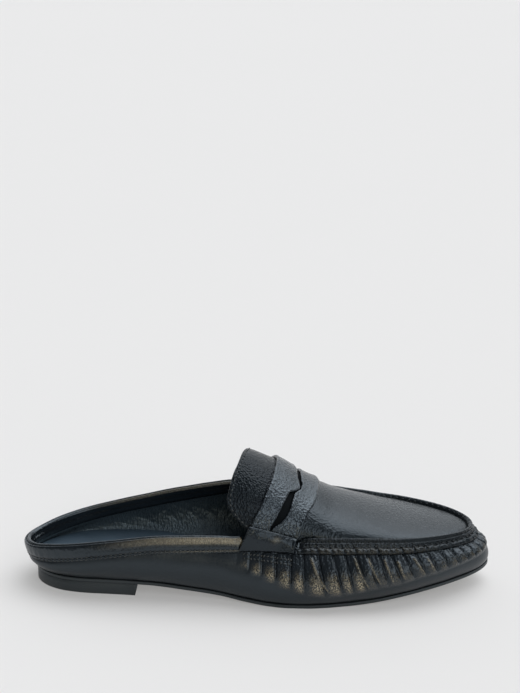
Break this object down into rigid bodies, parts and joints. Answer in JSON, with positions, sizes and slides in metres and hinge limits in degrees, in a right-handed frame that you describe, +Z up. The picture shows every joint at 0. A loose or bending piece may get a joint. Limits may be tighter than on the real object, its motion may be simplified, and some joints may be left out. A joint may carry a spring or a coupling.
{
  "type": "loafer mule",
  "caption": "Right loafer mule: slip-on upper with low bound collar behind the heel, gathered vamp, raised apron seam, slotted saddle strap, thin sole and low heel",
  "frame": {"origin": "on the floor under the middle of the shoe's box", "axes": "+X to the toe, +Y to the inner (medial) side of this right shoe, +Z up from the floor"},
  "size_m": [0.265, 0.091, 0.0753],
  "materials": {
    "upper_leather": "black grained leather, semi-gloss, with soft blue-grey sheen",
    "binding_leather": "black leather binding, semi-gloss, stitched",
    "lining_leather": "dark navy lining leather, satin, softly creased",
    "sole_rubber": "black rubber, satin"
  },
  "bodies": {
    "root": {"outsole": "sole_rubber", "heel": "sole_rubber", "insole": "lining_leather", "upper": "upper_leather", "seam_ridge": "upper_leather", "strap": "upper_leather", "tab_lateral": "upper_leather", "tab_medial": "upper_leather", "collar_band": "binding_leather"}
  },
  "joints": []
}
